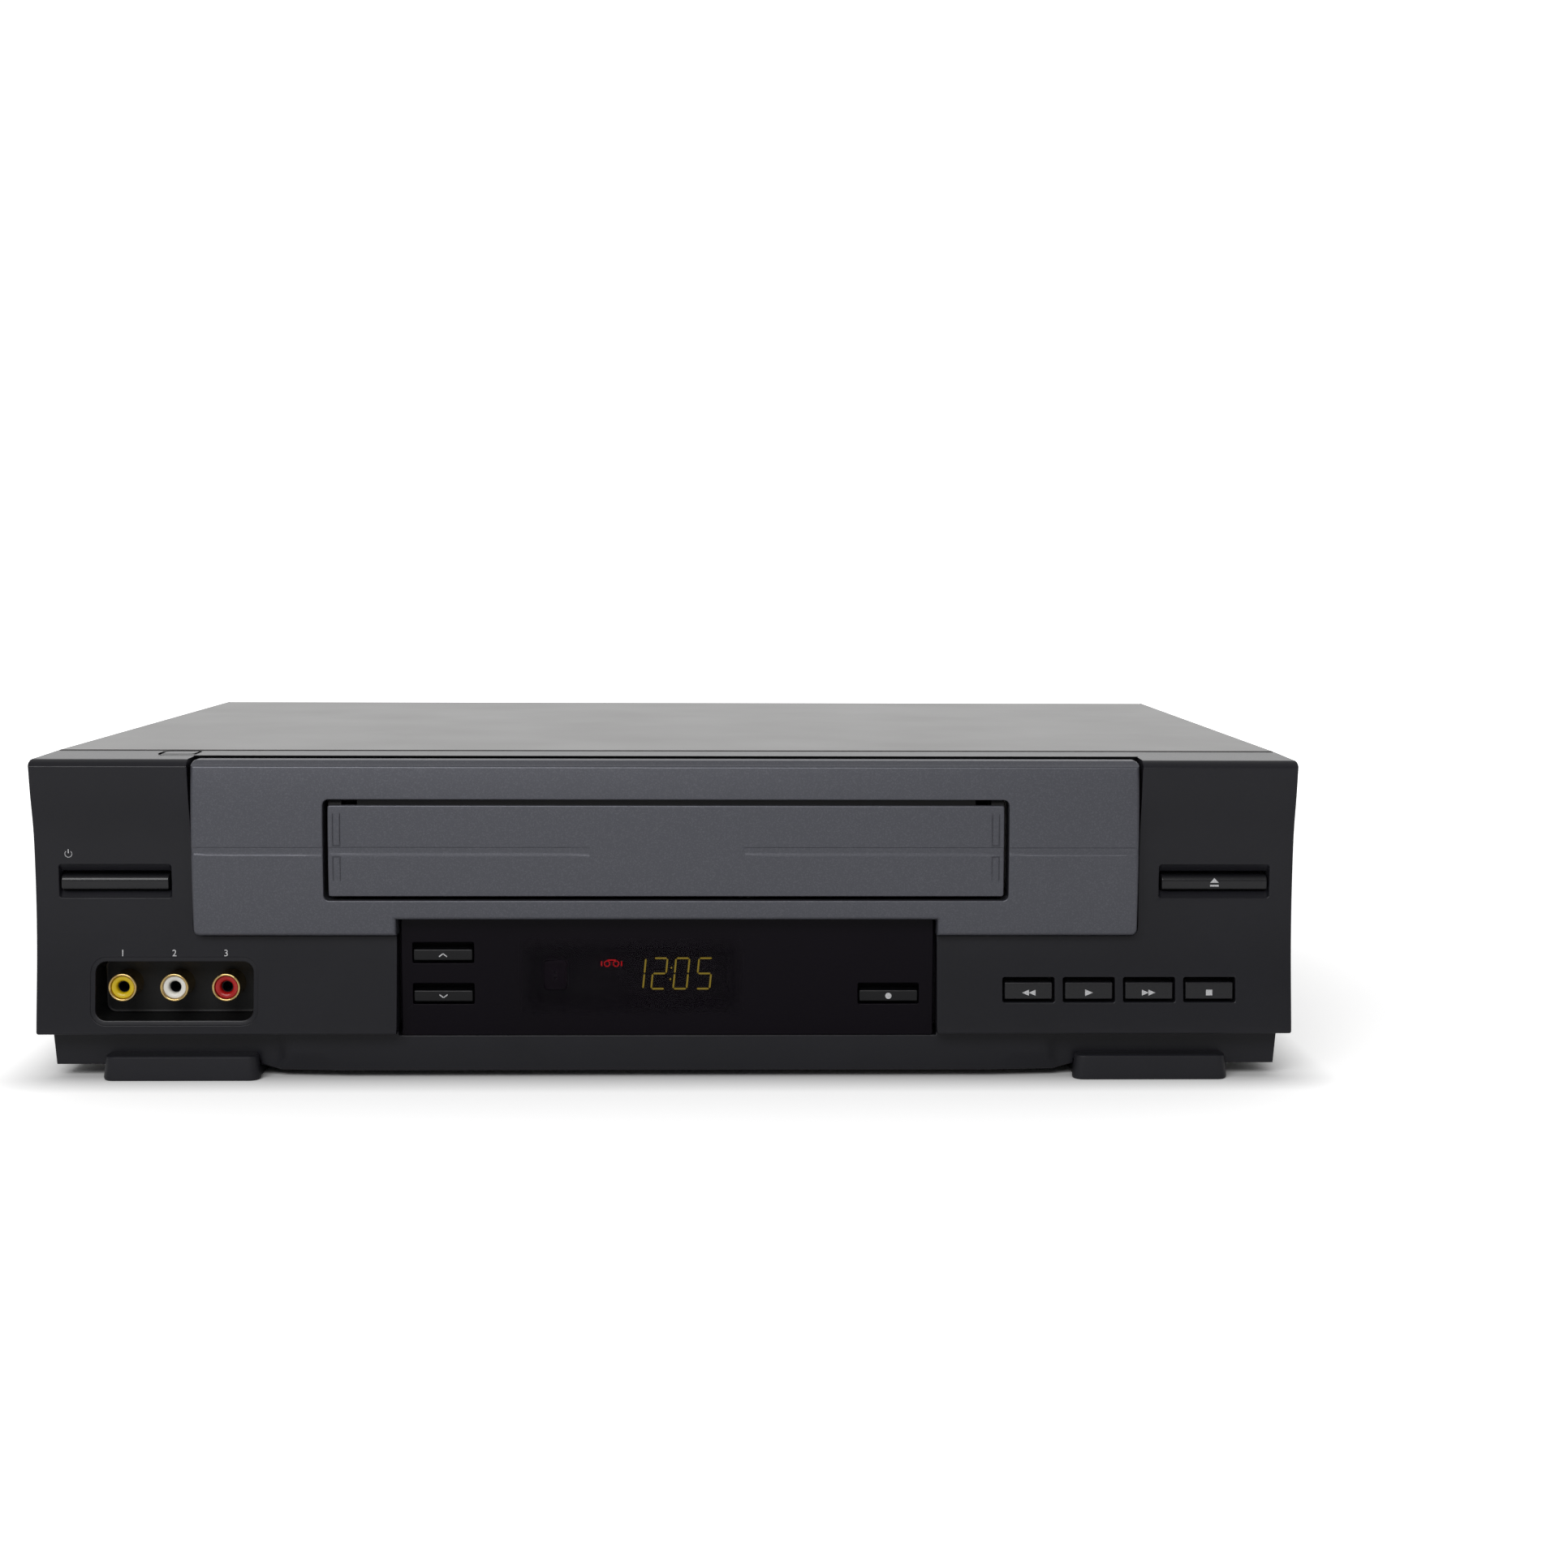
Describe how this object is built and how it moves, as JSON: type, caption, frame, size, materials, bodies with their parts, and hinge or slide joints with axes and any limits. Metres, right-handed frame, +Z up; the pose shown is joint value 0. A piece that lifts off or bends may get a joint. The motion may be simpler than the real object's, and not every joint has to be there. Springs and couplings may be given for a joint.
{
  "type": "video cassette recorder",
  "caption": "Low wide video cassette recorder with a black moulded front, silver-grey fascia, inward-swinging cassette door, display window and sheet metal cover.",
  "frame": {"origin": "under the middle of the machine, on the surface it stands on", "axes": "+X to the right seen from the front, +Y to the rear, +Z up"},
  "size_m": [0.36, 0.247, 0.0935],
  "materials": {
    "black_moulding": "fine-textured moulded ABS, near black",
    "silver_paint": "metallic grey paint on moulded ABS",
    "smoked_pane": "smoked acrylic, polished",
    "gloss_black": "polished black ABS",
    "cover_paint": "dark grey satin paint on sheet steel",
    "plated_steel": "zinc plated pressed steel",
    "gilt": "gold flashed brass",
    "yellow_plastic": "yellow moulded plastic",
    "white_plastic": "white moulded plastic",
    "red_plastic": "red moulded plastic",
    "circuit_board": "coated paper laminate",
    "display_glass": "evacuated display glass",
    "foot_moulding": "moulded ABS, near black",
    "rubber": "black rubber",
    "aluminium": "machined and pressed aluminium",
    "gear_plastic": "natural acetal",
    "iron": "dark plated motor iron"
  },
  "bodies": {
    "chassis": {"front_panel": "black_moulding", "silver_fascia": "silver_paint", "door_spring": "plated_steel", "display_window": "smoked_pane", "display_tube": "display_glass", "front_jack_block": "black_moulding", "front_jack_shell_video": "gilt", "front_jack_shell_left": "gilt", "front_jack_shell_right": "gilt", "front_jack_insert_video": "yellow_plastic", "front_jack_insert_left": "white_plastic", "front_jack_insert_right": "red_plastic", "front_board": "circuit_board", "main_board": "circuit_board", "top_cover": "cover_paint", "cover_screw_left": "plated_steel", "cover_screw_right": "plated_steel", "bottom_plate": "plated_steel", "front_foot_left": "foot_moulding", "front_foot_right": "foot_moulding", "rear_foot_left": "rubber", "rear_foot_right": "rubber", "rear_panel": "cover_paint", "tuner_box": "plated_steel", "rear_jack_block": "black_moulding", "power_cord_bush": "rubber", "deck_plate": "plated_steel", "carriage_bracket_left": "plated_steel", "carriage_bracket_right": "plated_steel", "lower_drum": "aluminium", "capstan_motor": "iron", "erase_head": "plated_steel", "control_head": "plated_steel", "loading_motor": "iron"},
    "door": {"cassette_door": "silver_paint"},
    "power_key": {"power_button": "black_moulding"},
    "eject_key": {"eject_button": "black_moulding"},
    "rewind_key": {"rewind_button": "black_moulding"},
    "play_key": {"play_button": "black_moulding"},
    "fast_forward_key": {"fast_forward_button": "black_moulding"},
    "stop_key": {"stop_button": "black_moulding"},
    "channel_up_key": {"channel_up_button": "gloss_black"},
    "channel_down_key": {"channel_down_button": "gloss_black"},
    "record_key": {"record_button": "gloss_black"},
    "selector": {"channel_selector_switch": "black_moulding"},
    "slider": {"carriage_slider": "plated_steel"},
    "carriage": {"cassette_carriage": "aluminium"},
    "upper_drum": {"head_drum": "aluminium"},
    "capstan": {"capstan": "plated_steel"},
    "pinch_arm": {"pinch_arm": "plated_steel"},
    "pinch_roller": {"pinch_roller": "rubber"},
    "supply_reel": {"supply_reel": "gear_plastic"},
    "takeup_reel": {"takeup_reel": "gear_plastic"},
    "idler_arm": {"idler_arm": "plated_steel"},
    "idler_gear": {"idler_gear": "gear_plastic"},
    "supply_guide": {"supply_guide": "plated_steel"},
    "takeup_guide": {"takeup_guide": "plated_steel"},
    "tension_arm": {"tension_arm": "plated_steel"},
    "worm": {"loading_worm": "gear_plastic"},
    "cam": {"cam_gear": "gear_plastic"}
  },
  "joints": [
    {"name": "door_swing", "type": "hinge", "parent": "chassis", "child": "door", "pos_m": [0, -0.1187, 0.0825], "axis": [1, 0, 0], "range_deg": [0, 88], "stiffness_Nm_per_rad": 0.004, "springref_deg": -17.19},
    {"name": "power_press", "type": "slide", "parent": "chassis", "child": "power_key", "axis": [0, 1, 0], "range_m": [0, 0.0012], "stiffness_N_per_m": 400},
    {"name": "eject_press", "type": "slide", "parent": "chassis", "child": "eject_key", "axis": [0, 1, 0], "range_m": [0, 0.0012], "stiffness_N_per_m": 400},
    {"name": "rewind_press", "type": "slide", "parent": "chassis", "child": "rewind_key", "axis": [0, 1, 0], "range_m": [0, 0.0012], "stiffness_N_per_m": 400},
    {"name": "play_press", "type": "slide", "parent": "chassis", "child": "play_key", "axis": [0, 1, 0], "range_m": [0, 0.0012], "stiffness_N_per_m": 400},
    {"name": "fast_forward_press", "type": "slide", "parent": "chassis", "child": "fast_forward_key", "axis": [0, 1, 0], "range_m": [0, 0.0012], "stiffness_N_per_m": 400},
    {"name": "stop_press", "type": "slide", "parent": "chassis", "child": "stop_key", "axis": [0, 1, 0], "range_m": [0, 0.0012], "stiffness_N_per_m": 400},
    {"name": "channel_up_press", "type": "slide", "parent": "chassis", "child": "channel_up_key", "axis": [0, 1, 0], "range_m": [0, 0.0012], "stiffness_N_per_m": 400},
    {"name": "channel_down_press", "type": "slide", "parent": "chassis", "child": "channel_down_key", "axis": [0, 1, 0], "range_m": [0, 0.0012], "stiffness_N_per_m": 400},
    {"name": "record_press", "type": "slide", "parent": "chassis", "child": "record_key", "axis": [0, 1, 0], "range_m": [0, 0.0012], "stiffness_N_per_m": 400},
    {"name": "selector_slide", "type": "slide", "parent": "chassis", "child": "selector", "axis": [1, 0, 0], "range_m": [0, 0.003]},
    {"name": "carriage_in", "type": "slide", "parent": "chassis", "child": "slider", "axis": [0, 1, 0], "range_m": [0, 0.07]},
    {"name": "carriage_down", "type": "slide", "parent": "slider", "child": "carriage", "axis": [0, 0, -1], "range_m": [0, 0.0213]},
    {"name": "drum_spin", "type": "hinge", "parent": "chassis", "child": "upper_drum", "pos_m": [0, 0.0745, 0.028], "axis": [0, 0.0958, 0.9954], "continuous": true},
    {"name": "capstan_spin", "type": "hinge", "parent": "chassis", "child": "capstan", "pos_m": [0.058, 0.0485, 0.028], "axis": [0, 0, 1], "continuous": true},
    {"name": "pinch_swing", "type": "hinge", "parent": "chassis", "child": "pinch_arm", "pos_m": [0.084, 0.0485, 0.028], "axis": [0, 0, -1], "range_deg": [0, 90], "stiffness_Nm_per_rad": 0.01},
    {"name": "pinch_roller_spin", "type": "hinge", "parent": "pinch_arm", "child": "pinch_roller", "pos_m": [0.084, 0.0313, 0.04], "axis": [0, 0, 1], "continuous": true},
    {"name": "supply_reel_spin", "type": "hinge", "parent": "chassis", "child": "supply_reel", "pos_m": [-0.046, -0.0245, 0.028], "axis": [0, 0, 1], "continuous": true},
    {"name": "takeup_reel_spin", "type": "hinge", "parent": "chassis", "child": "takeup_reel", "pos_m": [0.046, -0.0245, 0.028], "axis": [0, 0, 1], "continuous": true},
    {"name": "idler_swing", "type": "hinge", "parent": "chassis", "child": "idler_arm", "pos_m": [0, 0.0085, 0.028], "axis": [0, 0, 1], "range_deg": [-9.5, 9.5]},
    {"name": "idler_gear_spin", "type": "hinge", "parent": "idler_arm", "child": "idler_gear", "pos_m": [0, -0.0255, 0.028], "axis": [0, 0, 1], "continuous": true},
    {"name": "supply_guide_slide", "type": "slide", "parent": "chassis", "child": "supply_guide", "axis": [0, 1, 0], "range_m": [0, 0.05]},
    {"name": "takeup_guide_slide", "type": "slide", "parent": "chassis", "child": "takeup_guide", "axis": [0, 1, 0], "range_m": [0, 0.05]},
    {"name": "tension_swing", "type": "hinge", "parent": "chassis", "child": "tension_arm", "pos_m": [-0.08, 0.0165, 0.028], "axis": [0, 0, 1], "range_deg": [-15, 25], "stiffness_Nm_per_rad": 0.01},
    {"name": "worm_spin", "type": "hinge", "parent": "chassis", "child": "worm", "pos_m": [-0.07, 0.0905, 0.038], "axis": [1, 0, 0], "continuous": true},
    {"name": "cam_turn", "type": "hinge", "parent": "chassis", "child": "cam", "pos_m": [-0.07, 0.0662, 0.038], "axis": [0, 0, 1], "range_deg": [0, 300]}
  ],
  "couplings": [
    {"joint": "takeup_guide_slide", "follows": "supply_guide_slide", "ratio": 1},
    {"joint": "worm_spin", "follows": "cam_turn", "ratio": 32}
  ]
}
